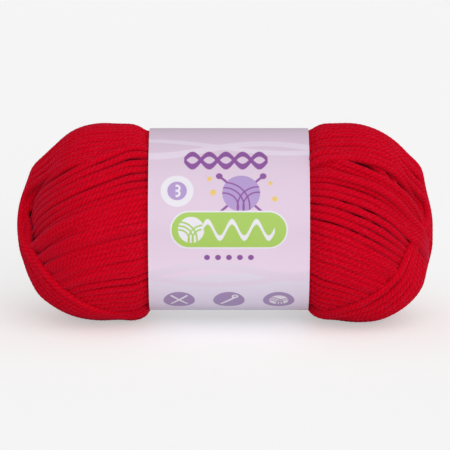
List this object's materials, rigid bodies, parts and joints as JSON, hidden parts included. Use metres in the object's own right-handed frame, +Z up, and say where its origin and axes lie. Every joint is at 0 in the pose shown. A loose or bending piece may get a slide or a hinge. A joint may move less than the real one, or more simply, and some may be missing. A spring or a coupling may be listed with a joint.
{
  "type": "ball of knitting yarn",
  "caption": "Oblong ball of deep red knitting yarn lying on its side, with a pale printed paper band that turns round its waist.",
  "frame": {"origin": "on the floor, under the middle of the ball", "axes": "+X along the ball, -Y towards the printed front, +Z up"},
  "size_m": [0.14, 0.0636, 0.0666],
  "materials": {
    "yarn": "matte",
    "band_paper": "satin",
    "glue": "satin"
  },
  "bodies": {
    "ball": {"wound_core": "yarn", "under_winding": "yarn", "side_winding": "yarn", "over_winding": "yarn"},
    "band": {"paper_band": "band_paper", "band_glue": "glue"}
  },
  "joints": [
    {"name": "band_turn", "type": "hinge", "parent": "ball", "child": "band", "pos_m": [0.0013, 0, 0.03415], "axis": [1, 0, 0], "continuous": true}
  ]
}
